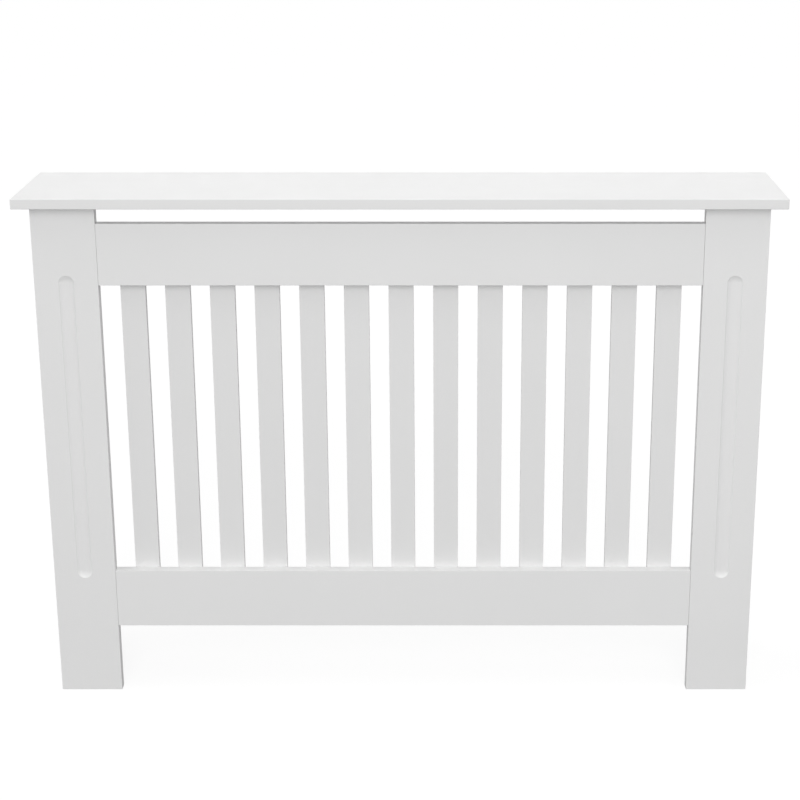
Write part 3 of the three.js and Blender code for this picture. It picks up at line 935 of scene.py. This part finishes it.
def zinc_steel_material():
    """Bright zinc plate: cool grey with a faint mottle and tumbling scratches."""
    g = Graph(bpy.data.materials.new("zinc_steel"))
    place = g.place()
    mottle = g.noise(place, MOTTLE_SCALE, detail=3.0, roughness=0.6)
    grain = g.noise(place, GRAIN_SCALE, detail=2.0, roughness=0.5)
    stretched = g.vector("MULTIPLY", {0: place, 1: SCRATCH_STRETCH})
    scratch = g.noise(stretched, SCRATCH_SCALE, detail=2.0, roughness=0.7)
    plate_rough = g.between(mottle, NOISE_SPAN, ZINC_ROUGH)
    scratch_rough = g.between(scratch, SCRATCH_SPAN, (0.0, SCRATCH_ROUGH))
    scratched = g.bump(scratch, ZINC_HEIGHT, strength=0.4)
    return g.principled({
        "Base Color": g.colour(mottle, ZINC_DARK, ZINC_PALE),
        "Metallic": 1.0,
        "Roughness": g.math("ADD", plate_rough, scratch_rough),
        "Normal": g.bump(grain, ZINC_HEIGHT, strength=0.4, normal=scratched),
    })


def beech_material():
    """Turned beech: pale pinkish wood with fine flecks along the dowel."""
    g = Graph(bpy.data.materials.new("beech"))
    along = g.vector("MULTIPLY", {0: g.place(), 1: WOOD_STRETCH})
    rings = g.noise(along, RING_SCALE, detail=4.0, roughness=0.6)
    fleck = g.noise(along, FLECK_SCALE, detail=2.0, roughness=0.7)
    ring_part = g.math("MULTIPLY", rings, RING_SHARE)
    grain = g.math("ADD", ring_part, g.math("MULTIPLY", fleck, 1 - RING_SHARE))
    return g.principled({
        "Base Color": g.colour(grain, BEECH_DARK, BEECH_PALE),
        "Roughness": g.between(fleck, NOISE_SPAN, WOOD_ROUGH),
        "Normal": g.bump(grain, WOOD_HEIGHT, strength=0.5),
    })


# ---------------------------------------------------------------- stage

FLOOR_SIZE = 60
FLOOR_DROP = 0.05 * MM  # below the feet
FLOOR_ALBEDO = 0.3
FLOOR_VEIL = 0.4  # share of plain white over the floor where the camera or a reflection sees it
VEIL_WHITE = 2.17  # brings the lit floor under the veil up to white
WORLD_LIGHT = 0.36  # on the object, where the background itself is 1
SUN_SPREAD = 40  # degrees across a soft sun
BOX_PLACE = (0.15, -5.0, 2.4)
BOX_AIM = (0, 0, 0.45)
BOX_SIZE = 3.4
BOX_POWER = 125  # watts

# Name, azimuth from the front to the right, elevation, strength, and degrees across
SUNS = (
    ("front_light", 0, 42, 0.2, 16),
    ("low_left_light", -70, 15, 0.22, SUN_SPREAD),
    ("high_left_light", -90, 65, 0.6, SUN_SPREAD),
    ("high_right_light", 60, 60, 0.42, SUN_SPREAD),
    ("rear_light", 180, 12, 0.3, SUN_SPREAD),
)


def seen_directly(g):
    """1 on camera, glossy and transmission rays."""
    path = g.node("ShaderNodeLightPath").outputs
    either = g.math("MAXIMUM", path["Is Camera Ray"], path["Is Glossy Ray"])
    return g.math("MAXIMUM", either, path["Is Transmission Ray"])


def floor():
    bm = bmesh.new()
    half = FLOOR_SIZE / 2
    bm.faces.new([bm.verts.new((sx * half, sy * half, -FLOOR_DROP)) for sx, sy in SQUARE])
    obj = object_from("floor", bm)
    g = Graph(bpy.data.materials.new("floor"))
    matt = g.node("ShaderNodeBsdfDiffuse", {"Color": (FLOOR_ALBEDO,) * 3 + (1,)}).outputs[0]
    white = g.node("ShaderNodeEmission", {"Strength": VEIL_WHITE}).outputs[0]
    veil = g.math("MULTIPLY", seen_directly(g), FLOOR_VEIL)
    veiled = g.node("ShaderNodeMixShader", {0: veil, 1: matt, 2: white}).outputs[0]
    obj.data.materials.append(g.surface(veiled))


def backdrop():
    world = bpy.data.worlds.new("white_backdrop")
    bpy.context.scene.world = world
    g = Graph(world)
    strength = g.between(seen_directly(g), (0.0, 1.0), (WORLD_LIGHT, 1.0))
    white = {"Color": (1, 1, 1, 1), "Strength": strength}
    g.node("ShaderNodeOutputWorld", {"Surface": g.node("ShaderNodeBackground", white).outputs[0]})


def soft_sun(name, azimuth, elevation, strength, spread):
    """A wide, even light. Azimuth 0 comes from the front, and 90 from the right."""
    light = bpy.data.lights.new(name, "SUN")
    light.energy = strength
    light.angle = math.radians(spread)
    obj = new_object(name, light)
    a, e = math.radians(azimuth), math.radians(elevation)
    back = Vector((math.sin(a) * math.cos(e), -math.cos(a) * math.cos(e), math.sin(e)))
    obj.rotation_euler = back.to_track_quat("Z", "Y").to_euler()


def lamp_box():
    """The main light: a large square box in front, above the camera, that falls off downwards."""
    light = bpy.data.lights.new("lamp_box", "AREA")
    light.size = BOX_SIZE
    light.energy = BOX_POWER
    obj = new_object("lamp_box", light)
    obj.location = BOX_PLACE
    obj.rotation_euler = (Vector(BOX_PLACE) - Vector(BOX_AIM)).to_track_quat("Z", "Y").to_euler()
    obj.visible_camera = False


def lights():
    lamp_box()
    for sun in SUNS:
        soft_sun(*sun)


# ---------------------------------------------------------------- camera

# The photograph's view: a little right of the middle, well above the shelf.
CAMERA_PLACE = (0.0724, -2.4724, 1.3324)
CAMERA_PITCH = math.radians(16.132)  # below the horizon
SENSOR = 36.0
PICTURE = 800  # pixels, its width and its height
FOCAL_SHARE = 1695.7 / PICTURE  # focal length by the picture's width
AXIS_RIGHT = 50 / PICTURE  # of the picture's middle, where the optical axis meets it
AXIS_ABOVE = 100 / PICTURE


def camera():
    data = bpy.data.cameras.new("camera")
    data.sensor_width = SENSOR
    data.lens = FOCAL_SHARE * SENSOR
    data.shift_x = -AXIS_RIGHT
    data.shift_y = -AXIS_ABOVE
    obj = new_object("camera", data)
    obj.location = CAMERA_PLACE
    obj.rotation_euler = (math.pi / 2 - CAMERA_PITCH, 0, 0)
    bpy.context.scene.camera = obj


# ---------------------------------------------------------------- assembly

camera()
backdrop()
floor()
lights()
bpy.context.scene.view_settings.view_transform = "Standard"

zinc_steel = zinc_steel_material()
painted_boards(painted_board_material())
cam_fittings(zinc_steel)
dowels(beech_material())
brackets(zinc_steel)
slat_staples(zinc_steel)
